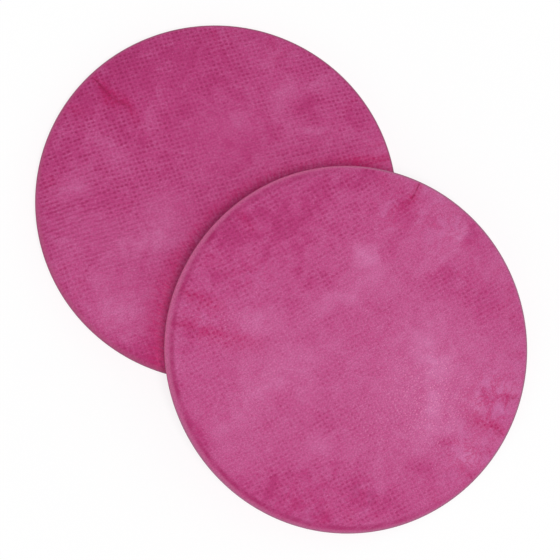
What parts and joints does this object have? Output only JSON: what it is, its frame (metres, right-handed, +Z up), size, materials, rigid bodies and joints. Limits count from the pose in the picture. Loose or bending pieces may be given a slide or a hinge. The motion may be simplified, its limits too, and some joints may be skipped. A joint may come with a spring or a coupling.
{
  "type": "respirator particulate filter discs",
  "caption": "Soft round particulate filters for a respirator facepiece, each a crowned fabric disc with a welded rim and a bayonet collar; one lies flat and the other leans on it.",
  "frame": {"origin": "on the lower filter's axis, at the flat mouth of its collar, which is the level of the table", "axes": "+Z up, along the lower filter's axis towards its front face; the upper filter lies towards +X and -Y and leans down that way"},
  "size_m": [0.1462, 0.1526, 0.0321],
  "materials": {
    "cover_web": "magenta point-bonded polypropylene web, matt with a faint sheen",
    "media_web": "white fine-fibre web, fluffy and matt",
    "scrim_web": "thin white smooth web",
    "net_plastic": "natural white moulded plastic",
    "clamp_plastic": "dark grey moulded plastic, satin",
    "collar_plastic": "dark grey moulded plastic, satin"
  },
  "bodies": {
    "lower_filter": {"lower_front_cover": "cover_web", "lower_front_media_outer": "media_web", "lower_front_media_inner": "media_web", "lower_front_scrim": "scrim_web", "lower_spacer_net": "net_plastic", "lower_clamp_ring": "clamp_plastic", "lower_rear_media_outer": "media_web", "lower_rear_media_inner": "media_web", "lower_rear_scrim": "scrim_web", "lower_rear_cover": "cover_web", "lower_bayonet_collar": "collar_plastic"},
    "upper_filter": {"upper_front_cover": "cover_web", "upper_front_media_outer": "media_web", "upper_front_media_inner": "media_web", "upper_front_scrim": "scrim_web", "upper_spacer_net": "net_plastic", "upper_clamp_ring": "clamp_plastic", "upper_rear_media_outer": "media_web", "upper_rear_media_inner": "media_web", "upper_rear_scrim": "scrim_web", "upper_rear_cover": "cover_web", "upper_bayonet_collar": "collar_plastic"}
  },
  "joints": [
    {"name": "upper_filter_lift", "type": "slide", "parent": "lower_filter", "child": "upper_filter", "axis": [0, 0, 1], "range_m": [0, 0.12]}
  ]
}
